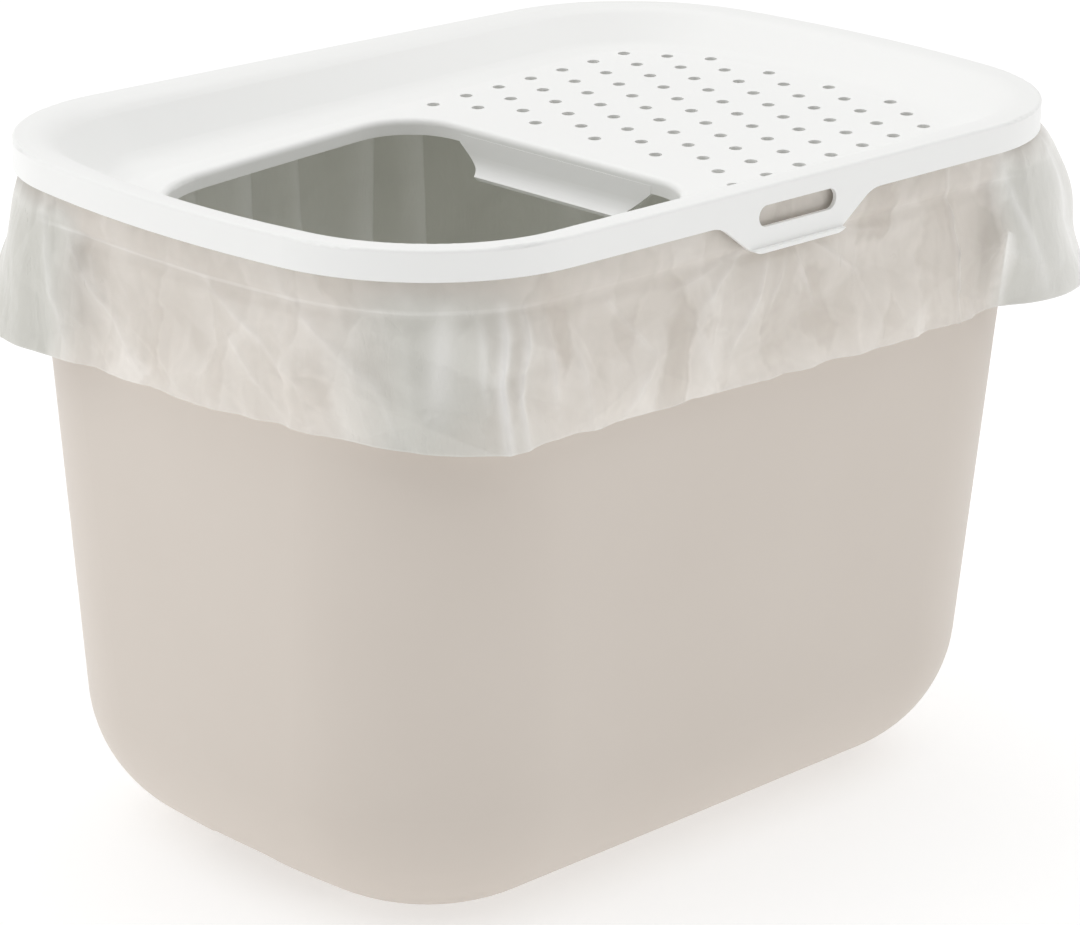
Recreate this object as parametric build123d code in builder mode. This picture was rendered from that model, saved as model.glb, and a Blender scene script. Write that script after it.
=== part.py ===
"""Top-entry litter box: a tapered tub, a bag that lines it and a lid that traps the bag."""

import os

from build123d import *

os.makedirs("parts", exist_ok=True)

# Whole object
overall_height = 412.0
cut_overrun = 5.0
fit_gap = 0.3

# Lid: plan outline
lid_length = 585.0
lid_width = 395.0
lid_end_bow = 28.0
lid_side_bow = 1.2
lid_corner_radius = 114.0

# Lid: sheet, skirt and rounded edges
lid_wall = 2.5
skirt_height = 17.0
lid_edge_radius = 2.0
channel_radius = 1.0

# Lid: dish between the crest of the rim and the sloping deck
crest_inset = 17.6
crest_radius = 25.0
foot_inset = 52.0
foot_radius = 30.0
deck_depth = 26.3
deck_tilt = 2.1
dish_spread_share = 0.27

# Lid: entry opening, with its turned-down lip
entry_back_x = 10.6
entry_front_margin = 77.0
entry_front_x = entry_front_margin - lid_length / 2
entry_back_margin = 74.7
entry_back_half_width = lid_width / 2 - entry_back_margin
entry_front_narrowing = 12.3
entry_front_half_width = entry_back_half_width - entry_front_narrowing
entry_side_bow = 1.5
entry_front_bow = 5.0
entry_back_radius = 38.0
entry_front_radius = 66.0
entry_edge_radius = 4.0
lip_depth = 10.0

# Lid: apron that hangs from the inner side of the entry
apron_root_margin = 45.0
apron_root_half_width = entry_back_half_width - apron_root_margin
apron_neck_narrowing = 15.6
apron_neck_half_width = apron_root_half_width - apron_neck_narrowing
apron_front_narrowing = 5.6
apron_front_half_width = apron_neck_half_width - apron_front_narrowing
apron_straight = 16.0
apron_bend_radius = 12.0
apron_bend = 60.0
apron_shoulder = 8.0
apron_overlap = 5.0
apron_neck_radius = 9.0
apron_front_radius = 8.0

# Lid: litter holes in staggered rows
hole_diameter = 7.8
holes_in_row = 7
inner_rows = 5
between_rows = 4
outer_rows = 2
hole_entry_margin = 34.2
hole_end_margin = 82.1
hole_side_margin = 75.1
first_hole_x = entry_back_x + hole_entry_margin
last_hole_x = lid_length / 2 - hole_end_margin
hole_pitch = (last_hole_x - first_hole_x) / (holes_in_row - 1)
hole_row_pitch = (lid_width / 2 - hole_side_margin) / inner_rows
inner_field_x = (first_hole_x + last_hole_x) / 2
outer_field_x = inner_field_x - hole_pitch / 2

# Lid: slotted carry tab in each long side
tab_root_half_width = 62.0
tab_foot_half_width = 34.5
tab_drop = 19.5
tab_root_radius = 22.0
tab_foot_radius = 14.0
tab_lip_reach = 3.0
tab_lip_wall = 2.2
slot_length = 63.0
slot_height = 12.0
slot_drop = 17.0

# Tub
tub_inset = 8.6
tub_wall = 3.0
tub_end_taper = 30.0
tub_side_taper = 17.7
tub_end_bow = 14.5
tub_foot_corner_radius = 111.0
tub_bottom_radius = 88.0
rim_band_height = 31.0
rim_band_reach = 2.6
rim_band_chamfer = 1.5
rim_radius = 1.2

# Tub: arch under each short end
arch_corner_margin = 111.2
arch_half_width = lid_width / 2 - tub_inset - tub_side_taper - arch_corner_margin
arch_height = 24.0
arch_depth = 80.0
arch_side_share = 19 / 30
arch_side_run = arch_half_width * arch_side_share
arch_radius_share = 5 / 12
arch_radius = arch_half_width * arch_radius_share

# Liner: the bag
film = 0.6
cuff_drop = 93.0
cuff_corner_radius = 84.0
cuff_reach = 2.0

lid_top = overall_height
skirt_bottom = lid_top - skirt_height
rim_top = lid_top - lid_wall - film - fit_gap * 2
deck_plane = Plane(origin=(0, 0, lid_top - deck_depth)).rotated((0, -deck_tilt, 0))


def bowed_outline(half_length, half_width, end_bow, side_bow, corner_radius):
    """A rectangle whose four sides swell outwards as arcs, with rounded corners."""
    corner_x = half_length - end_bow
    corner_y = half_width - side_bow
    with BuildSketch() as outline:
        with BuildLine():
            ThreePointArc((corner_x, -corner_y), (half_length, 0), (corner_x, corner_y))
            ThreePointArc((corner_x, corner_y), (0, half_width), (-corner_x, corner_y))
            ThreePointArc((-corner_x, corner_y), (-half_length, 0), (-corner_x, -corner_y))
            ThreePointArc((-corner_x, -corner_y), (0, -half_width), (corner_x, -corner_y))
        make_face()
        fillet(outline.vertices(), radius=corner_radius)
    return outline.sketch


def lid_outline(inset):
    """The lid's outline, drawn in by an even distance."""
    return bowed_outline(
        lid_length / 2 - inset,
        lid_width / 2 - inset,
        lid_end_bow,
        lid_side_bow,
        lid_corner_radius - inset,
    )


def dish_space(grow):
    """The air above the lid, grown outwards and downwards by the sheet's thickness."""
    spread = grow * dish_spread_share
    crest_plane = Plane.XY.offset(lid_top - grow)
    with BuildPart() as space:
        with BuildSketch(crest_plane):
            add(lid_outline(crest_inset - spread))
        with BuildSketch(deck_plane.offset(-grow)):
            add(lid_outline(foot_inset - spread))
        loft(ruled=True)
        deck_edges = space.faces().sort_by(Axis.Z)[0].edges()
        fillet(deck_edges, radius=foot_radius + grow)
        with BuildSketch(crest_plane):
            add(lid_outline(-cut_overrun))
        extrude(amount=cut_overrun + grow)
        crest_face = space.faces().filter_by(Plane.XY).sort_by(Axis.Z)[0]
        fillet(crest_face.inner_wires()[0].edges(), radius=crest_radius - grow)
    return space.part


def entry_outline(grow):
    """The entry opening's outline, grown outwards by an even distance."""
    back = entry_back_x
    front = entry_front_x
    back_y = entry_back_half_width
    front_y = entry_front_half_width
    middle_x = (back + front) / 2
    middle_y = (back_y + front_y) / 2 + entry_side_bow
    front_mid = front - entry_front_bow
    with BuildSketch() as outline:
        with BuildLine():
            Line((back, -back_y), (back, back_y))
            ThreePointArc((back, back_y), (middle_x, middle_y), (front, front_y))
            ThreePointArc((front, front_y), (front_mid, 0), (front, -front_y))
            ThreePointArc((front, -front_y), (middle_x, -middle_y), (back, -back_y))
        make_face()
        fillet(outline.vertices().group_by(Axis.X)[-1], radius=entry_back_radius)
        fillet(outline.vertices().group_by(Axis.X)[0], radius=entry_front_radius)
        if grow:
            offset(amount=grow)
    return outline.sketch


def make_apron():
    """The curled apron under the entry's inner edge."""
    top_z = lid_top - deck_depth - lip_depth + apron_overlap
    turn_z = lid_top - deck_depth - apron_straight
    foot_z = turn_z - apron_bend_radius - lid_wall
    neck_z = foot_z + apron_shoulder
    root_z = top_z - apron_overlap
    with BuildPart() as apron:
        with BuildSketch(Plane.XZ):
            with BuildLine():
                Line((entry_back_x, top_z), (entry_back_x, turn_z))
                CenterArc(
                    (entry_back_x - apron_bend_radius, turn_z),
                    apron_bend_radius,
                    0,
                    -apron_bend,
                )
                offset(amount=lid_wall, side=Side.LEFT)
            make_face()
        extrude(amount=apron_root_half_width, both=True)
        with BuildSketch(Plane.YZ) as front:
            with BuildLine():
                Polyline(
                    (apron_front_half_width, foot_z),
                    (apron_neck_half_width, neck_z),
                    (apron_root_half_width, root_z),
                    (apron_root_half_width, top_z),
                    (-apron_root_half_width, top_z),
                    (-apron_root_half_width, root_z),
                    (-apron_neck_half_width, neck_z),
                    (-apron_front_half_width, foot_z),
                    close=True,
                )
            make_face()
            fillet(front.vertices().group_by(Axis.Y)[1], radius=apron_neck_radius)
            fillet(front.vertices().group_by(Axis.Y)[0], radius=apron_front_radius)
        extrude(amount=entry_back_x + lid_wall + cut_overrun, mode=Mode.INTERSECT)
    return apron.part


def hole_field():
    """The staggered rows of litter holes, as a sketch on the deck."""
    row_gap = hole_row_pitch * 2
    between_x = inner_field_x + hole_pitch / 2
    with BuildSketch() as field:
        with Locations((inner_field_x, 0)):
            with GridLocations(hole_pitch, row_gap, holes_in_row, inner_rows):
                Circle(hole_diameter / 2)
        with Locations((between_x, 0)):
            with GridLocations(hole_pitch, row_gap, holes_in_row, between_rows):
                Circle(hole_diameter / 2)
        with Locations((outer_field_x, 0)):
            edge_gap = row_gap * inner_rows
            with GridLocations(hole_pitch, edge_gap, holes_in_row, outer_rows):
                Circle(hole_diameter / 2)
    return field.sketch


def make_tabs():
    """A carry tab below the skirt on each long side, with its turned-out foot."""
    foot_z = skirt_bottom - tab_drop
    top_z = skirt_bottom + channel_radius
    strip_half_width = tab_root_half_width + tab_root_radius
    with BuildPart() as tabs:
        with BuildSketch(Plane.XY.offset(foot_z)):
            add(lid_outline(0))
            add(lid_outline(lid_wall), mode=Mode.SUBTRACT)
        extrude(amount=top_z - foot_z)
        with BuildSketch(Plane.XY.offset(foot_z)):
            add(lid_outline(-tab_lip_reach))
            add(lid_outline(lid_wall), mode=Mode.SUBTRACT)
        extrude(amount=tab_lip_wall)
        with BuildSketch(Plane.XZ) as front:
            with BuildLine():
                Polyline(
                    (-strip_half_width, top_z),
                    (-strip_half_width, skirt_bottom),
                    (-tab_root_half_width, skirt_bottom),
                    (-tab_foot_half_width, foot_z),
                    (tab_foot_half_width, foot_z),
                    (tab_root_half_width, skirt_bottom),
                    (strip_half_width, skirt_bottom),
                    (strip_half_width, top_z),
                    close=True,
                )
            make_face()
            root_corners = front.vertices().group_by(Axis.Y)[1].sort_by(Axis.X)[1:-1]
            fillet(root_corners, radius=tab_root_radius)
            fillet(front.vertices().group_by(Axis.Y)[0], radius=tab_foot_radius)
        extrude(amount=lid_width, both=True, mode=Mode.INTERSECT)
    return tabs.part


def slot_cut():
    """The finger slot through each tab's root."""
    with BuildPart() as slots:
        with BuildSketch(Plane.XZ):
            with Locations((0, lid_top - slot_drop)):
                SlotOverall(slot_length, slot_height)
        extrude(amount=lid_width, both=True)
        with BuildSketch(Plane.XY.offset(skirt_bottom - tab_drop)):
            add(lid_outline(crest_inset))
        extrude(amount=skirt_height + tab_drop, mode=Mode.SUBTRACT)
    return slots.part


def cuff_hem(inset):
    """The outline of the cuff's hem, squarer at its corners than the lid."""
    return bowed_outline(
        lid_length / 2 + cuff_reach - inset,
        lid_width / 2 + cuff_reach - inset,
        lid_end_bow,
        lid_side_bow,
        cuff_corner_radius - inset,
    )


def tub_space(inset):
    """The tub's outer form, drawn in by an even distance, up to the rim."""
    floor_half_length = lid_length / 2 - tub_inset - tub_end_taper - inset
    floor_half_width = lid_width / 2 - tub_inset - tub_side_taper - inset
    arch_start = floor_half_length - arch_depth
    arch_top = arch_height + inset
    arch_foot = arch_half_width + inset
    with BuildPart() as space:
        with BuildSketch(Plane.XY.offset(rim_top)):
            add(lid_outline(tub_inset + inset))
        with BuildSketch():
            add(
                bowed_outline(
                    floor_half_length,
                    floor_half_width,
                    tub_end_bow,
                    lid_side_bow,
                    tub_foot_corner_radius - inset,
                )
            )
        loft(ruled=True)
        split(bisect_by=Plane.XY.offset(inset), keep=Keep.TOP)
        floor_edges = space.faces().sort_by(Axis.Z)[0].edges()
        fillet(floor_edges, radius=tub_bottom_radius - inset)
        for end in (-1, 1):
            with BuildSketch(Plane.YZ.offset(end * arch_start)) as arch:
                with BuildLine():
                    Polyline(
                        (-arch_foot, 0),
                        (-arch_foot + arch_side_run, arch_top),
                        (arch_foot - arch_side_run, arch_top),
                        (arch_foot, 0),
                        close=True,
                    )
                make_face()
                fillet(arch.vertices().group_by(Axis.Y)[-1], radius=arch_radius)
            extrude(amount=end * arch_depth * 2, mode=Mode.SUBTRACT)
    return space.part


with BuildPart() as tub:
    add(tub_space(0))
    band_outline = lid_outline(tub_inset - rim_band_reach)
    with BuildSketch(Plane.XY.offset(rim_top - rim_band_height)):
        add(band_outline)
    extrude(amount=rim_band_height)
    add(tub_space(tub_wall), mode=Mode.SUBTRACT)
    rim_face = tub.faces().filter_by(Plane.XY).sort_by(Axis.Z)[-1]
    fillet(rim_face.edges(), radius=rim_radius)
    band_edges = tub.faces().filter_by(Plane.XY).sort_by(Axis.Z)[-2].outer_wire().edges()
    chamfer(band_edges, length=rim_band_chamfer)

tub.part.label = "tub"
export_step(tub.part, "parts/tub.step")

with BuildPart() as lid:
    with BuildSketch(Plane.XY.offset(lid_top)):
        add(lid_outline(0))
    extrude(amount=-deck_depth * 2)
    add(dish_space(lid_wall), mode=Mode.INTERSECT)
    add(dish_space(0), mode=Mode.SUBTRACT)

    # Skirt, and the two carry tabs that hang from it
    with BuildSketch(Plane.XY.offset(skirt_bottom)):
        add(lid_outline(0))
        add(lid_outline(lid_wall), mode=Mode.SUBTRACT)
    extrude(amount=skirt_height)
    channel_ceiling = lid.faces().filter_by(Plane.XY).group_by(Axis.Z)[1]
    fillet(channel_ceiling.sort_by(SortBy.AREA)[-1].outer_wire().edges(), radius=channel_radius)
    add(make_tabs())
    add(slot_cut(), mode=Mode.SUBTRACT)
    rim_face = lid.faces().filter_by(Plane.XY).sort_by(Axis.Z)[-1]
    fillet(rim_face.outer_wire().edges(), radius=lid_edge_radius)

    # Entry opening with its lip
    with BuildSketch(deck_plane):
        add(entry_outline(lid_wall))
    extrude(amount=-lip_depth)
    with BuildSketch(deck_plane.offset(cut_overrun)):
        add(entry_outline(0))
    extrude(amount=-lip_depth - cut_overrun * 2, mode=Mode.SUBTRACT)
    deck_faces = lid.faces().filter_by(deck_plane).sort_by(Axis.Z)
    entry_edge = deck_faces[-1].inner_wires()[0].edges()
    fillet(entry_edge, radius=entry_edge_radius)
    add(make_apron())

    # Litter holes
    with BuildSketch(deck_plane.offset(cut_overrun)):
        add(hole_field())
    extrude(amount=-lid_wall - cut_overrun * 2, mode=Mode.SUBTRACT)

lid.part.label = "lid"
export_step(lid.part, "parts/lid.step")

with BuildPart() as liner:
    bag_inset = tub_wall + fit_gap
    cuff_inset = tub_inset - rim_band_reach - fit_gap - film
    fold_top = rim_top + fit_gap + film
    hem_z = skirt_bottom - cuff_drop

    # Cuff that hangs outside the tub and flares at its corners
    with BuildSketch(Plane.XY.offset(skirt_bottom)):
        add(lid_outline(cuff_inset))
    with BuildSketch(Plane.XY.offset(hem_z)):
        add(cuff_hem(0))
    loft(ruled=True)
    with BuildSketch(Plane.XY.offset(skirt_bottom)):
        add(lid_outline(cuff_inset))
    extrude(amount=fold_top - skirt_bottom)
    with BuildSketch(Plane.XY.offset(skirt_bottom)):
        add(lid_outline(cuff_inset + film))
    with BuildSketch(Plane.XY.offset(hem_z)):
        add(cuff_hem(film))
    loft(ruled=True, mode=Mode.SUBTRACT)
    with BuildSketch(Plane.XY.offset(skirt_bottom)):
        add(lid_outline(cuff_inset + film))
    extrude(amount=fold_top - film - skirt_bottom, mode=Mode.SUBTRACT)

    # Bag that lines the tub and turns over the rim
    add(tub_space(bag_inset))
    with BuildSketch(Plane.XY.offset(rim_top)):
        add(lid_outline(tub_inset + bag_inset))
    extrude(amount=fold_top - rim_top)
    add(tub_space(bag_inset + film), mode=Mode.SUBTRACT)
    with BuildSketch(Plane.XY.offset(rim_top)):
        add(lid_outline(tub_inset + bag_inset + film))
    extrude(amount=fold_top - rim_top, mode=Mode.SUBTRACT)
    fold_face = liner.faces().filter_by(Plane.XY).sort_by(Axis.Z)[-1]
    fillet(fold_face.edges(), radius=rim_radius + fit_gap + film)

liner.part.label = "liner"
export_step(liner.part, "parts/liner.step")
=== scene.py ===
"""Dresses the litter box: a satin tub, a white lid and the thin film bag between them."""

import math

import bpy
import numpy as np
from mathutils import Matrix, Vector


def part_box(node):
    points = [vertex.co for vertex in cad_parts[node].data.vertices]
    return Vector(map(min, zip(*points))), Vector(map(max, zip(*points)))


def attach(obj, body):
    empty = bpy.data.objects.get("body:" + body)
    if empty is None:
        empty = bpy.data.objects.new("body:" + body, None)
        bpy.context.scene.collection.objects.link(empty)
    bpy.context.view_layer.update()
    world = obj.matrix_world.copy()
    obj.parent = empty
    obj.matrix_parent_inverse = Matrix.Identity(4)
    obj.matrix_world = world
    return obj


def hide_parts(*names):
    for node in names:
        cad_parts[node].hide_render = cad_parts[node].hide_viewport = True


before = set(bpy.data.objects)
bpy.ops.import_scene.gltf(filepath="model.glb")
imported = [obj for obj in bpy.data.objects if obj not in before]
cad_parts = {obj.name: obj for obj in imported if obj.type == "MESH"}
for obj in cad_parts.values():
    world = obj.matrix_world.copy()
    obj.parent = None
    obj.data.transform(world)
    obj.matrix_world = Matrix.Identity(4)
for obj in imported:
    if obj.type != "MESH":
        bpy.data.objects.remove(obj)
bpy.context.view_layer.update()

# Sizes of the moulded pieces, in metres
lid_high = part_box("lid")[1]
lid_half_length = lid_high.x
lid_half_width = 0.1975
lid_end_bow = 0.028
lid_side_bow = 0.0012
lid_corner = 0.114
skirt_height = 0.017
skirt_bottom = lid_high.z - skirt_height
crest_over_rim = 0.0037
rim_top = lid_high.z - crest_over_rim
tub_inset = 0.0086
tub_wall = 0.003
tub_end_taper = 0.030
tub_side_taper = 0.0177
tub_end_bow = 0.0145
tub_foot_corner = 0.111
tub_bottom_radius = 0.088

# The raised arch in the tub's floor at each end
arch_start = 0.158
arch_slope = 0.0105
arch_half_width = 0.080
arch_side = 0.016
arch_height = 0.0285

# Sizes of the film bag
film_gap = 0.0004
film_clear = tub_wall + film_gap
bottom_round = tub_bottom_radius - film_clear
fold_top = rim_top + film_gap
cuff_inset = 0.0051
band_depth = 0.0177
band_dip = 0.0022
outline_length = 1.70

# Rings of the film bag, and the places of a ring's points, from 0 to 1 round the outline
bottom_rings = 11
wall_rings = 60
band_rings = 5
cuff_rings = 84
around = 1200
places = np.arange(around) / around

# Material slots of the film bag
cuff_slot = 0
lining_slot = 1

# Places of the Mix node's sockets for colours
mix_first = 6
mix_second = 7
mix_result = 2


def grey(level):
    """A grey as a colour with its alpha."""
    return (level, level, level, 1)


class Value:
    """A shader number: arithmetic on it adds Math nodes."""

    def __init__(self, nodes, socket):
        self.nodes = nodes
        self.socket = socket

    def math(self, operation, first, second):
        settings = {"operation": operation}
        return self.nodes.add("ShaderNodeMath", settings, {0: first, 1: second})

    def __add__(self, other):
        return self.math("ADD", self, other)

    def __radd__(self, other):
        return self.math("ADD", other, self)

    def __mul__(self, other):
        return self.math("MULTIPLY", self, other)

    def __rmul__(self, other):
        return self.math("MULTIPLY", other, self)


class Nodes:
    """A node tree and the one call that adds nodes to it."""

    def __init__(self, tree):
        self.tree = tree

    def add(self, kind, settings, inputs, output=0):
        """A node of this kind, set first and then fed with values or links."""
        node = self.tree.nodes.new(kind)
        for key, value in settings.items():
            if key == "stops":
                self.set_stops(node, value)
            else:
                setattr(node, key, value)
        for key, value in inputs.items():
            if isinstance(value, Value):
                self.tree.links.new(value.socket, node.inputs[key])
            else:
                node.inputs[key].default_value = value
        return Value(self, node.outputs[output])

    def set_stops(self, node, stops):
        """The ramp's two stops, as pairs of a place and a grey."""
        for element, (place, level) in zip(node.color_ramp.elements, stops):
            element.position = place
            element.color = grey(level)


class Finish(Nodes):
    """One material: its main shader and the calls that dress it."""

    def __init__(self, name, **constants):
        self.material = bpy.data.materials.new(name)
        self.material.use_nodes = True
        super().__init__(self.material.node_tree)
        self.shader = self.tree.nodes["Principled BSDF"]
        for socket, value in constants.items():
            self.shader.inputs[socket.replace("_", " ")].default_value = value

    def feed(self, socket, value):
        """Links a value to one of the main shader's sockets."""
        self.tree.links.new(value.socket, self.shader.inputs[socket])

    def place(self):
        """Object coordinates, which are metres in the part's own frame."""
        return self.add("ShaderNodeTexCoord", {}, {}, "Object")

    def share(self, name):
        """A share that the mesh holds at each of its points."""
        return self.add("ShaderNodeAttribute", {"attribute_name": name}, {}, "Fac")

    def noise(self, place, scale, detail=3, distortion=0, output=0):
        inputs = {"Vector": place, "Scale": scale, "Detail": detail, "Distortion": distortion}
        return self.add("ShaderNodeTexNoise", {}, inputs, output)

    def cells(self, place, feature, output=0, **constants):
        """Irregular cells, about 30 mm wide."""
        inputs = {"Vector": place, "Scale": 34.0, **constants}
        return self.add("ShaderNodeTexVoronoi", {"feature": feature}, inputs, output)

    def stretch(self, place, factors):
        settings = {"operation": "MULTIPLY"}
        return self.add("ShaderNodeVectorMath", settings, {0: place, 1: factors})

    def shift(self, place, amount, share):
        """Moves a place by a share of a noise colour."""
        settings = {"operation": "MULTIPLY_ADD"}
        inputs = {0: amount, 1: (share, share, share), 2: place}
        return self.add("ShaderNodeVectorMath", settings, inputs)

    def ramp(self, value, *stops):
        return self.add("ShaderNodeValToRGB", {"stops": stops}, {"Fac": value})

    def blend(self, share, first, second):
        """A colour between two others."""
        inputs = {"Factor": share, mix_first: first, mix_second: second}
        return self.add("ShaderNodeMix", {"data_type": "RGBA"}, inputs, mix_result)

    def bump(self, height, strength, distance):
        """Relief of a height that is given in shares of a distance."""
        inputs = {"Height": height, "Strength": strength, "Distance": distance}
        self.feed("Normal", self.add("ShaderNodeBump", {}, inputs, "Normal"))


def make_tub_finish():
    """Warm beige plastic with a fine satin grain and slight flow marks."""
    finish = Finish("tub_plastic", Specular_IOR_Level=0.35)
    place = finish.place()
    flow = finish.ramp(finish.noise(place, scale=5.0, detail=4), (0.3, 0.0), (0.7, 1.0))
    beige = (0.690, 0.624, 0.560, 1)
    paler_beige = (0.712, 0.647, 0.583, 1)
    finish.feed("Base Color", finish.blend(flow, beige, paler_beige))
    grain = finish.noise(place, scale=900.0, detail=2)
    finish.feed("Roughness", 0.42 + grain * 0.08)
    finish.bump(grain, strength=0.12, distance=0.00012)
    return finish.material


def make_lid_finish():
    """White plastic with a soft gloss."""
    finish = Finish("lid_plastic", Specular_IOR_Level=0.4)
    place = finish.place()
    warm_white = (0.935, 0.937, 0.922, 1)
    paler_white = (0.955, 0.956, 0.942, 1)
    cloud = finish.noise(place, scale=6.0)
    finish.feed("Base Color", finish.blend(cloud, warm_white, paler_white))
    grain = finish.noise(place, scale=700.0, detail=2)
    finish.feed("Roughness", 0.30 + grain * 0.10)
    finish.bump(grain, strength=0.10, distance=0.0001)
    return finish.material


def crumple_film(finish, place):
    """Presses fine crumples into thin film: the edges of its facets, streaks and a cloud."""
    nudge = finish.noise(place, scale=24.0, output="Color")
    bent = finish.shift(finish.stretch(place, (1, 1, 0.45)), nudge, share=0.03)
    edges = finish.cells(bent, "DISTANCE_TO_EDGE")
    upright = finish.stretch(place, (1, 1, 0.4))
    streak = finish.noise(upright, scale=60.0, detail=6, distortion=1.2)
    cloud = finish.noise(place, scale=18.0, distortion=0.6)
    finish.bump(edges * 0.7 + streak * 0.4 + cloud * 0.8, strength=0.75, distance=0.0032)
    return bent, streak, cloud


def make_cuff_finish():
    """Thin frosted film outside the tub, denser along its creases and where it flares; painted
    highlights on its creases, painted shade where it flares, painted light and shade on its
    facets, and a faint painted glow.
    """
    finish = Finish(
        "liner_film",
        Specular_IOR_Level=0.6,
        IOR=1.45,
        # A faint warm glow: painted light standing in for light shining through the film
        Emission_Strength=0.045,
        Emission_Color=(1.0, 0.93, 0.84, 1),
    )
    bent, streak, cloud = crumple_film(finish, finish.place())
    # The cloud varies the film's density and tone; the cells add painted light and shade on its
    # facets
    facet_light_and_shade = finish.cells(bent, "SMOOTH_F1", "Color", Smoothness=0.2)
    facet_light_and_shade = finish.add("ShaderNodeSeparateColor", {}, {"Color": facet_light_and_shade}, "Red")
    frost_and_facet_shade = finish.ramp(cloud, (0.36, 0.0), (0.64, 1.0)) * 0.45 + facet_light_and_shade * 0.55
    crease = finish.share("crease")
    flare = finish.share("flare")
    dull = (0.84, 0.815, 0.765, 1)
    bright = (0.98, 0.955, 0.91, 1)
    # Painted shade: a grey-green tone where the film flares loose from the tub
    painted_shade = (0.60, 0.595, 0.55, 1)
    # Creases show denser film, and this white paints a highlight along them
    crease_highlight_white = (0.96, 0.955, 0.94, 1)
    colour = finish.blend(flare, finish.blend(frost_and_facet_shade, dull, bright), painted_shade)
    finish.feed("Base Color", finish.blend(crease, colour, crease_highlight_white))
    finish.feed("Alpha", 0.32 + frost_and_facet_shade * 0.26 + crease * 0.22 + flare * 0.56)
    finish.feed("Roughness", 0.20 + streak * 0.25)
    return finish.material


def make_lining_finish():
    """The same film where it lies against the tub's inside, dense and a little green, with a
    painted highlight on its folds' crests and a faint painted glow.
    """
    finish = Finish(
        "liner_film_inside",
        Specular_IOR_Level=0.4,
        IOR=1.4,
        # A faint glow: painted light that brightens the inside of the tub
        Emission_Strength=0.042,
        Emission_Color=(0.93, 0.95, 0.84, 1),
    )
    _, streak, cloud = crumple_film(finish, finish.place())
    dull = (0.80, 0.80, 0.76, 1)
    bright = (0.88, 0.88, 0.84, 1)
    # Painted highlight on the crests of the folds
    painted_crest_highlight = (0.99, 0.99, 0.97, 1)
    colour = finish.blend(cloud, dull, bright)
    finish.feed("Base Color", finish.blend(finish.share("crease"), colour, painted_crest_highlight))
    finish.feed("Alpha", 0.90 + cloud * 0.08)
    finish.feed("Roughness", 0.34 + streak * 0.25)
    return finish.material


def make_floor_finish():
    """A plain pale floor with a glow of its own, as in a white studio."""
    finish = Finish("pale_floor", Roughness=0.8, Emission_Strength=0.49, Emission_Color=grey(0.97))
    cloud = finish.noise(finish.place(), scale=3.0)
    finish.feed("Base Color", finish.blend(cloud, grey(0.61), grey(0.63)))
    return finish.material


class Outline:
    """A plan outline of four gentle arcs with round corners, walked from the entry end."""

    def __init__(self, half_length, half_width, end_bow, side_bow, corner):
        reach_y = half_width - side_bow
        reach_x = half_length - end_bow
        self.corner = corner
        self.end_radius = (reach_y**2 + end_bow**2) / (2 * end_bow)
        self.side_radius = (reach_x**2 + side_bow**2) / (2 * side_bow)
        self.end_centre = np.array([half_length - self.end_radius, 0.0])
        self.side_centre = np.array([0.0, half_width - self.side_radius])
        self.find_corner()

    def find_corner(self):
        """The corner circle touches the end arc and the side arc from inside."""
        end_span = self.end_radius - self.corner
        side_span = self.side_radius - self.corner
        way = self.side_centre - self.end_centre
        apart = math.hypot(*way)
        way = way / apart
        turned = np.array([-way[1], way[0]])
        along = (end_span**2 - side_span**2 + apart**2) / (2 * apart)
        across = math.sqrt(end_span**2 - along**2)
        middle = self.end_centre + way * along
        options = [middle + turned * across, middle - turned * across]
        self.corner_centre = max(options, key=lambda point: point[0] + point[1])
        from_end = self.corner_centre - self.end_centre
        from_side = self.corner_centre - self.side_centre
        self.end_angle = math.atan2(from_end[1], from_end[0])
        self.side_angle = math.atan2(from_side[1], from_side[0])

    def quarter_arcs(self):
        """Radius, centre and angles of the arcs from the end's middle to the side's middle."""
        return [
            (self.end_radius, self.end_centre, 0, self.end_angle),
            (self.corner, self.corner_centre, self.end_angle, self.side_angle),
            (self.side_radius, self.side_centre, self.side_angle, math.pi / 2),
        ]

    def quarter(self, walk):
        """Points and outward directions at a walk from 0 to 1 over the quarter's arcs."""
        points = np.empty((len(walk), 2))
        ways = np.empty((len(walk), 2))
        start = 0
        for (radius, centre, first, last), share in zip(self.quarter_arcs(), arc_shares):
            here = walk >= start
            angle = first + (walk[here] - start) / share * (last - first)
            ways[here] = np.stack([np.cos(angle), np.sin(angle)], 1)
            points[here] = centre + ways[here] * radius
            start += share
        return points, ways

    def walk(self, way_round):
        """Points and outward directions at shares from 0 to 1 of the way round the outline."""
        quarters = way_round * 4
        index = np.floor(quarters).astype(int) % 4
        part = quarters - np.floor(quarters)
        points, ways = self.quarter(np.where(index % 2 == 0, part, 1 - part))
        sign_x = np.where((index == 0) | (index == 3), -1, 1)
        sign_y = np.where(index < 2, -1, 1)
        signs = np.stack([sign_x, sign_y], 1)
        return points * signs, ways * signs


def lid_outline(inset):
    """The lid's outline, drawn in by an even distance."""
    return Outline(
        lid_half_length - inset,
        lid_half_width - inset,
        lid_end_bow,
        lid_side_bow,
        lid_corner - inset,
    )


def tub_outline(z, inset):
    """The tub's outline at a height, drawn in by an even distance."""
    share = 1 - z / rim_top
    half_length = lid_half_length - tub_inset - tub_end_taper * share - inset
    half_width = lid_half_width - tub_inset - tub_side_taper * share - inset
    bow = lid_end_bow + (tub_end_bow - lid_end_bow) * share
    corner = lid_corner - tub_inset
    corner += (tub_foot_corner - corner) * share - inset
    return Outline(half_length, half_width, bow, lid_side_bow, corner)


# Shares of a quarter's walk that its three arcs take, the same on every outline
arc_lengths = [
    radius * (last - first) for radius, _, first, last in lid_outline(0).quarter_arcs()
]
arc_shares = np.array(arc_lengths) / sum(arc_lengths)

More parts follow.
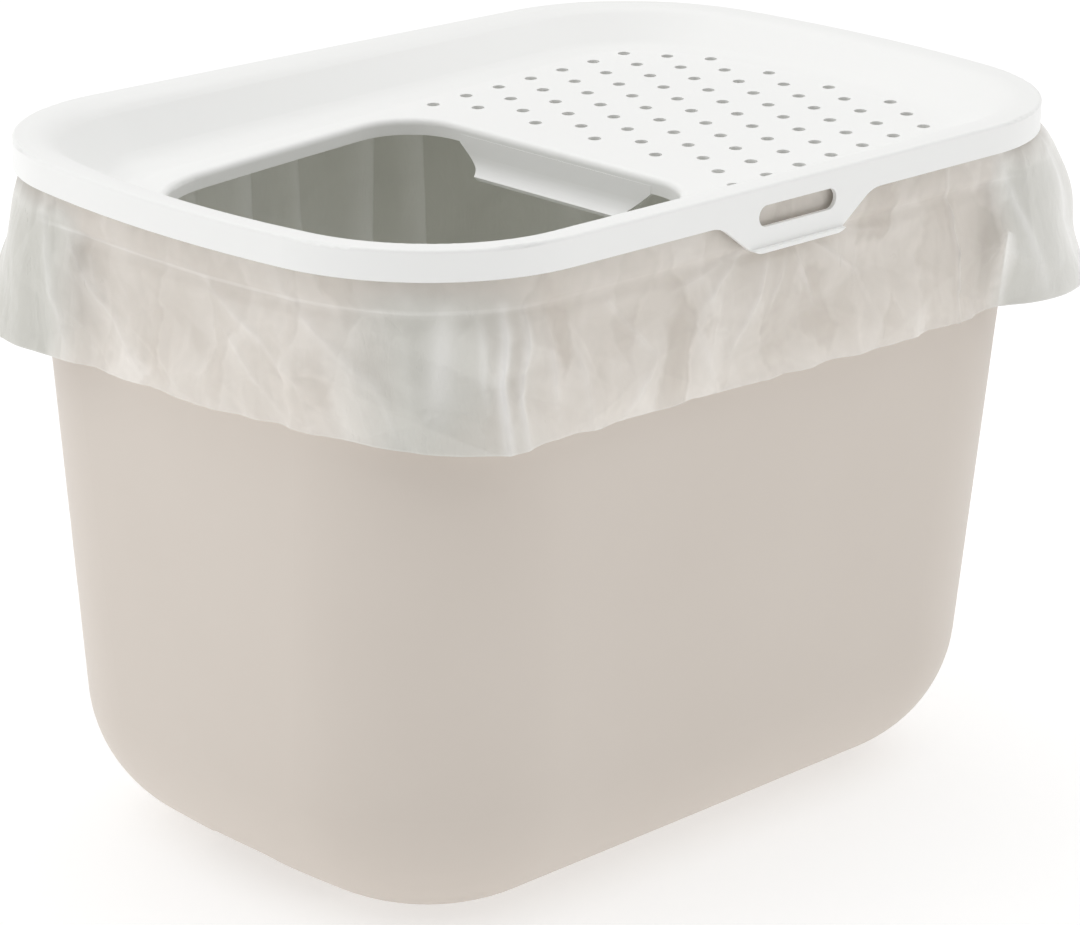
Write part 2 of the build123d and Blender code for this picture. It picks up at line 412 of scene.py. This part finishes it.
# Hem of the cuff round the outline: its drop below the skirt and its reach beyond the lid, in mm
mm = 0.001
hem_drops = [
    (0.012, 85.5), (0.058, 84.5), (0.083, 87), (0.100, 89.5), (0.118, 90.5), (0.136, 89),
    (0.179, 92), (0.229, 93.5), (0.295, 93.5), (0.355, 93.5), (0.367, 94), (0.390, 92),
    (0.450, 88), (0.600, 90), (0.750, 92), (0.850, 90), (0.900, 91), (0.935, 90),
    (0.957, 88.5), (0.983, 87.5),
]
hem_reaches = [
    (0.012, -1), (0.058, 2), (0.083, 6), (0.100, 8), (0.118, 7), (0.136, 5), (0.179, 0),
    (0.229, 1), (0.295, 1.5), (0.345, 2), (0.364, 10), (0.380, 26), (0.400, 34), (0.420, 26),
    (0.450, 10), (0.500, 3), (0.600, 1), (0.750, 1), (0.830, 3), (0.870, 10), (0.900, 14),
    (0.925, 15), (0.935, 12.5), (0.957, 6), (0.983, -1),
]

# Main folds of the cuff: place and drop of both ends, height and width
named_cuff_folds = [
    (0.1265, 0.016, 0.125, 0.098, 0.0072, 0.0050),
    (0.119, 0.020, 0.121, 0.070, 0.0024, 0.0030),
    (0.134, 0.018, 0.131, 0.092, 0.0052, 0.0040),
    (0.141, 0.025, 0.146, 0.080, 0.0034, 0.0040),
    (0.108, 0.018, 0.106, 0.070, -0.0040, 0.0120),
    (0.327, -0.004, 0.331, 0.098, 0.0040, 0.0009),
    (0.232, 0.012, 0.205, 0.045, 0.0022, 0.0030),
    (0.240, 0.020, 0.222, 0.075, 0.0024, 0.0035),
    (0.247, 0.023, 0.238, 0.060, 0.0016, 0.0025),
    (0.250, 0.023, 0.262, 0.060, 0.0020, 0.0025),
    (0.258, 0.020, 0.285, 0.050, 0.0020, 0.0030),
    (0.262, 0.015, 0.300, 0.030, 0.0012, 0.0020),
    (0.236, 0.015, 0.195, 0.030, 0.0016, 0.0025),
    (0.165, 0.020, 0.187, 0.060, 0.0020, 0.0030),
    (0.187, 0.060, 0.172, 0.092, 0.0022, 0.0040),
    (0.200, 0.040, 0.216, 0.088, 0.0018, 0.0040),
    (0.150, 0.030, 0.158, 0.090, 0.0020, 0.0040),
    (0.975, 0.010, 0.045, 0.075, 0.0024, 0.0060),
    (0.955, 0.020, 0.998, 0.082, 0.0020, 0.0050),
    (0.940, 0.004, 0.960, 0.085, 0.0020, 0.0050),
    (0.015, 0.012, 0.068, 0.062, 0.0022, 0.0050),
    (0.050, 0.010, 0.088, 0.055, 0.0020, 0.0050),
    (0.030, 0.040, 0.060, 0.084, 0.0016, 0.0040),
    (0.355, 0.004, 0.372, 0.090, 0.0026, 0.0050),
    (0.385, 0.000, 0.392, 0.090, -0.0026, 0.0060),
    (0.280, 0.030, 0.290, 0.080, 0.0012, 0.0040),
    (0.620, 0.010, 0.640, 0.080, 0.0022, 0.0040),
    (0.700, 0.015, 0.680, 0.070, 0.0020, 0.0040),
    (0.750, 0.020, 0.765, 0.080, 0.0022, 0.0040),
    (0.820, 0.012, 0.800, 0.070, 0.0020, 0.0040),
    (0.480, 0.015, 0.520, 0.070, 0.0022, 0.0050),
]

# Main upright folds inside the tub: place, width, height and lean
named_wall_folds = [
    (0.790, 0.005, 0.008, 0.03),
    (0.769, 0.003, 0.006, -0.02),
    (0.732, 0.006, 0.010, 0.02),
    (0.710, 0.006, 0.009, -0.03),
]

# Folds at random places, beside the named ones
random_cuff_folds = 60
random_wall_folds = 20

# How bright a fold's crease shows, as denser film with a painted highlight, per metre of its
# height
crease_per_height = 110


def climb(distance, length):
    """A share that is 0 up to no distance and 1 from a length on."""
    return np.clip(distance / length, 0, 1)


def ridge(away, width):
    """A share that is 1 on a line and fades to 0 on both sides of it."""
    return np.exp(-((away / width) ** 2))


def from_place(place):
    """How far each point of a ring is from a place, the shorter way round."""
    return (places - place + 0.5) % 1 - 0.5


def smooth_curve(table):
    """A smooth curve round the outline through pairs of a place and a value."""
    steps = 4001
    smoothed_steps = 33
    spots, values = np.array(table).T
    spots = np.concatenate([spots - 1, spots, spots + 1])
    values = np.tile(values, 3)
    fine = np.linspace(-0.5, 1.5, steps)
    kernel = np.hanning(smoothed_steps)
    curve = np.convolve(np.interp(fine, spots, values), kernel / kernel.sum(), "same")
    return np.interp(places, fine, curve)


def arch_top(spot):
    """Height at which the film rides over the arches in the tub's floor."""
    lengthwise = climb(np.abs(spot[:, 0]) - arch_start, arch_slope)
    crosswise = climb(arch_half_width - np.abs(spot[:, 1]), arch_side)
    return arch_height * lengthwise * crosswise


class Film:
    """The film bag's rings, from the floor to the hem, with two shares at each point.

    The first bands of faces between them, as many as lining_bands, have the lining's finish.
    """

    def __init__(self):
        self.rings = []
        self.shares = {"crease": [], "flare": []}
        self.lining_bands = 0

    def add(self, outline, z, out=0.0, crease=0.0, flare=0.0):
        """One ring that stands out from an outline and stays above the arches."""
        points, ways = outline.walk(places)
        spot = points + ways * np.reshape(out, (-1, 1))
        self.rings.append(np.column_stack([spot, np.maximum(z, arch_top(spot))]))
        self.shares["crease"].append(np.broadcast_to(crease, places.shape))
        self.shares["flare"].append(np.broadcast_to(flare, places.shape))

    def build(self, name):
        """One tube of quads through the rings, with a flat floor on the first."""
        mesh = bpy.data.meshes.new(name)
        mesh.from_pydata(np.concatenate(self.rings).tolist(), [], self.faces())
        mesh.validate()
        mesh.shade_smooth()
        for share, values in self.shares.items():
            layer = mesh.attributes.new(share, "FLOAT", "POINT")
            layer.data.foreach_set("value", np.concatenate(values).astype(np.float32))
        slots = np.full(len(mesh.polygons), cuff_slot, dtype=np.int32)
        slots[: self.lining_bands * around] = lining_slot
        slots[-1] = lining_slot
        mesh.polygons.foreach_set("material_index", slots)
        piece = bpy.data.objects.new(name, mesh)
        bpy.context.scene.collection.objects.link(piece)
        return piece

    def faces(self):
        """The quads between the rings, band by band, and last the floor."""
        index = np.arange(len(self.rings) * around).reshape(-1, around)
        turned = np.roll(index, -1, axis=1)
        quads = np.stack([index[:-1], turned[:-1], turned[1:], index[1:]], -1).reshape(-1, 4)
        floor = index[0][::-1]
        return [*quads.tolist(), floor.tolist()]


def pick_wall_folds():
    """The named upright folds inside the tub, and more at random places."""
    rng = np.random.default_rng(seed=7)
    folds = list(named_wall_folds)
    for _ in range(random_wall_folds):
        place = rng.uniform(0, 1)
        width = rng.uniform(0.004, 0.018)
        height = rng.uniform(0.001, 0.006)
        lean = rng.uniform(-0.08, 0.08)
        folds.append((place, width, height, lean))
    return folds


def press_wall_folds(folds, z):
    """How far the upright folds stand off the tub's inside at a height, and their creases, which
    carry a painted highlight.
    """
    slack = 0.0006
    steep_side = 0.35
    off = np.full_like(places, slack)
    crease = np.zeros_like(places)
    for place, width, height, lean in folds:
        away = from_place(place + lean * (rim_top - z))
        shape = ridge(away, np.where(away > 0, width, width * steep_side))
        off += height * shape
        crease += height * crease_per_height * shape
    return off, np.clip(crease, 0, 1)


def add_walls(film):
    """Inside the tub: the floor's edge, the round bottom and the walls with their folds."""
    flat_step = 0.007
    first_turn = 0.02
    film.add(tub_outline(film_clear, tub_bottom_radius + flat_step), film_clear)
    for turn in np.linspace(first_turn, 1, bottom_rings, endpoint=False):
        angle = turn * math.pi / 2
        z = film_clear + bottom_round * (1 - math.cos(angle))
        inset = film_clear + bottom_round * (1 - math.sin(angle))
        film.add(tub_outline(z, inset), z)

    # The folds fade out towards the round bottom and below the rim, where the film is tight
    wall_bottom = film_clear + bottom_round
    wall_top = rim_top - 0.002
    tight_top = rim_top - 0.012
    fade_above = 0.08
    fade_below = 0.03
    folds = pick_wall_folds()
    for z in np.linspace(wall_bottom, wall_top, wall_rings):
        off, crease = press_wall_folds(folds, z)
        freedom = climb(tight_top - z, fade_below) * climb(z - wall_bottom, fade_above)
        film.add(tub_outline(z, film_clear), z, -off * freedom, crease * freedom)


def add_rim_fold(film):
    """The turn over the tub's rim and the tight band outside it, under the lid's skirt."""
    inner = tub_inset + film_clear
    round_inside = 0.0008
    round_outside = 0.0006
    crown = 0.0001
    shoulder = 0.0012
    film.add(lid_outline(inner - round_inside), fold_top)
    film.add(lid_outline((inner + cuff_inset) / 2), fold_top + crown)
    film.add(lid_outline(cuff_inset + round_outside), fold_top)
    outer = lid_outline(cuff_inset)
    levels = np.linspace(rim_top - shoulder, skirt_bottom, band_rings)
    film.add(outer, levels[0])
    film.lining_bands = len(film.rings)
    for z in levels[1:]:
        film.add(outer, z)


def pick_cuff_folds(rng):
    """The named folds of the cuff, and small ones at random places."""
    folds = list(named_cuff_folds)
    for _ in range(random_cuff_folds):
        start = rng.uniform(0, 1)
        top = rng.uniform(0.002, 0.080)
        length = rng.uniform(0.015, 0.055)
        lean = rng.normal(0, 0.6)
        end = start + length * math.sin(lean) / outline_length
        height = rng.uniform(-0.0006, 0.0011)
        width = rng.uniform(0.0015, 0.0060)
        folds.append((start, top, end, top + length * math.cos(lean), height, width))
    return folds


def press_cuff_fold(drop, start, top, end, bottom, height, width):
    """How far one fold of the cuff stands out, and how sharply it creases the film."""
    end_share = 0.04
    crease_width = 0.0008 + width * 0.5
    across = from_place(start) * outline_length
    down = drop - top
    run = np.array([(end - start) * outline_length, bottom - top])
    length = math.hypot(*run)
    run = run / length
    part = climb(across * run[0] + down * run[1], length)
    away = np.hypot(across - run[0] * part * length, down - run[1] * part * length)
    taper = np.sin(np.pi * np.clip(part, end_share, 1 - end_share)) ** 0.5
    crease = abs(height) * crease_per_height * taper * ridge(away, crease_width)
    return height * taper * np.exp(-away / width), crease


def wave_cuff(rng, drop):
    """Zigzag waves round the cuff, lower the more turns they have."""
    swing = 0.016
    wave = np.zeros_like(drop)
    for turns in (7, 11, 15, 19, 23, 29, 34, 41, 47, 53, 61, 73):
        lean = rng.uniform(-16, 16)
        phase = rng.uniform(0, 1)
        turn = np.sin(2 * math.pi * (places * turns + drop * lean + phase))
        wave += swing / turns * np.arcsin(turn)
    return wave


def fold_cuff(drop, loose):
    """How far the cuff's folds and waves stand out, and how sharply creased the film is."""
    rng = np.random.default_rng(seed=11)
    out = np.zeros_like(drop)
    crease = np.zeros_like(drop)
    for fold in pick_cuff_folds(rng):
        fold_out, fold_crease = press_cuff_fold(drop, *fold)
        out += fold_out
        crease += fold_crease
    wave = wave_cuff(rng, drop)

    # The film is held at the band, so folds and waves grow from there down
    held_share = 0.25
    held_depth = 0.010
    fold_growth = 0.015
    wave_growth = 0.035
    fold_share = held_share + (1 - held_share) * climb(drop - held_depth, fold_growth)
    wave_share = climb(drop - band_depth, wave_growth)

    # The hem and the flared corner of the near side show as creases too, and the band's edge shows
    # a painted highlight, brighter at the ends
    hem_crease = 0.25
    flare_crease = 0.45
    flare_place = 0.40
    flare_width = 0.035
    band_edge_highlight = 0.3
    band_line = 0.0009
    more_at_ends = 1 + 0.9 * np.cos(places * 4 * math.pi)
    crease[-1] += hem_crease
    crease += flare_crease * ridge(places - flare_place, flare_width)
    crease += band_edge_highlight * ridge(drop - band_depth, band_line) * more_at_ends * (1 - loose)
    return out * fold_share + wave * wave_share, np.clip(crease, 0, 1)


def add_cuff(film):
    """The cuff outside the tub: close below the band, and loose at the corners that flare."""
    loose_from = 0.004
    loose_over = 0.008
    hem_drop = smooth_curve(hem_drops) * mm
    hem_reach = smooth_curve(hem_reaches) * mm + cuff_inset
    loose = climb(hem_reach - cuff_inset - loose_from, loose_over)
    fall = np.arange(1, cuff_rings + 1)[:, None] / cuff_rings
    drop = fall * hem_drop
    out, crease = fold_cuff(drop, loose)

    # Where it is close, the film dips under the band and then runs straight to the hem
    dip_below_band = 0.003
    dip_width = 0.004
    dip = band_dip * ridge(drop - band_depth - dip_below_band, dip_width)
    below = climb(drop - band_depth, hem_drop - band_depth)
    close = hem_reach * below - dip * (1 - loose)

    # Where it is loose, it curves out from the skirt, more so on the near side
    near_curl = 0.52
    far_curl = 0.2
    curl = np.where(places < 0.5, near_curl, far_curl)
    free = hem_reach * fall ** (1 - curl * loose)
    stand = close + (free - close) * loose

    # The folds are weaker there, and the film shows denser and darker, with painted shade
    lost_folds = 0.6
    half_loose = 0.5
    flare_fade = 0.015
    stand = np.maximum(stand + out * (1 - lost_folds * loose), -band_dip)
    flare = climb(loose, half_loose) * climb(drop, flare_fade)
    outer = lid_outline(cuff_inset)
    for ring in range(cuff_rings):
        film.add(outer, skirt_bottom - drop[ring], stand[ring], crease[ring], flare[ring])


def make_bag():
    """The film bag as one sheet: inside the tub, over its rim and down its outside."""
    film = Film()
    add_walls(film)
    add_rim_fold(film)
    add_cuff(film)
    bag = film.build("film_bag")
    bag.data.materials.append(make_cuff_finish())
    bag.data.materials.append(make_lining_finish())
    return bag


def paint_node(name, material):
    """Gives a carried-over node its finish in each of its slots."""
    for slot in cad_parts[name].material_slots:
        slot.material = material


def make_floor():
    """A wide flat floor, just under the box."""
    half = 30.0
    gap_under_box = 0.0002
    corners = [(-half, -half, 0), (half, -half, 0), (half, half, 0), (-half, half, 0)]
    mesh = bpy.data.meshes.new("floor")
    mesh.from_pydata(corners, [], [(0, 1, 2, 3)])
    mesh.materials.append(make_floor_finish())
    floor = bpy.data.objects.new("floor", mesh)
    floor.location.z = -gap_under_box
    bpy.context.scene.collection.objects.link(floor)


def make_sky_light():
    """A very soft light from overhead."""
    way = Vector((0.04, -0.02, 1))
    lamp = bpy.data.lights.new("overhead", "SUN")
    lamp.energy = 1.76
    lamp.angle = math.radians(100)
    light = bpy.data.objects.new("overhead", lamp)
    light.rotation_euler = way.to_track_quat("Z", "Y").to_euler()
    bpy.context.scene.collection.objects.link(light)


def make_world():
    """A white surround, as the camera sees it: brightest at the left, less so at the right,
    some light from beyond the box, and dimmest behind the camera, above and below."""
    world = bpy.data.worlds.new("white_surround")
    world.use_nodes = True
    nodes = Nodes(world.node_tree)
    place = nodes.add("ShaderNodeTexCoord", {}, {}, "Generated")
    facing = {"operation": "DOT_PRODUCT"}
    to_left = (-0.703, 0.711, 0)
    to_far_side = (0.711, 0.703, 0)
    left = nodes.add("ShaderNodeVectorMath", facing, {0: place, 1: to_left}, "Value")
    ahead = nodes.add("ShaderNodeVectorMath", facing, {0: place, 1: to_far_side}, "Value")
    beyond = nodes.add("ShaderNodeMath", {"operation": "MAXIMUM"}, {0: ahead, 1: 0.0})
    all_round = 0.10
    both_sides = left * left * 0.90
    more_at_left = left * 0.20
    light = all_round + both_sides + more_at_left + beyond * 0.54
    background = world.node_tree.nodes["Background"]
    background.inputs["Color"].default_value = grey(1)
    world.node_tree.links.new(light.socket, background.inputs["Strength"])
    bpy.context.scene.world = world


def make_camera():
    """The photograph's camera."""
    azimuth = math.radians(-45.3449)
    elevation = math.radians(19.2463)
    roll = math.radians(1.0969)
    place = Vector((-1.53971, -1.52821, 0.95489))
    focal_px = 3879.79
    photo_width_px = 1080
    picture_shift = -0.0028
    flat = math.cos(elevation)
    back = Vector((math.sin(azimuth) * flat, -math.cos(azimuth) * flat, math.sin(elevation)))
    level = Vector((math.cos(azimuth), math.sin(azimuth), 0))
    upright = back.cross(level)
    right = level * math.cos(roll) + upright * math.sin(roll)
    up = upright * math.cos(roll) - level * math.sin(roll)
    data = bpy.data.cameras.new("camera")
    data.sensor_width = 36.0
    data.lens = focal_px / photo_width_px * data.sensor_width
    data.shift_x = picture_shift
    camera = bpy.data.objects.new("camera", data)
    turn = Matrix((right, up, back)).transposed().to_4x4()
    camera.matrix_world = Matrix.Translation(place) @ turn
    bpy.context.scene.collection.objects.link(camera)
    bpy.context.scene.camera = camera


make_camera()
paint_node("tub", make_tub_finish())
paint_node("lid", make_lid_finish())
bag = make_bag()
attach(bag, "base")
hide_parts("liner")

make_floor()
make_world()
make_sky_light()
bpy.context.scene.view_settings.view_transform = "Standard"
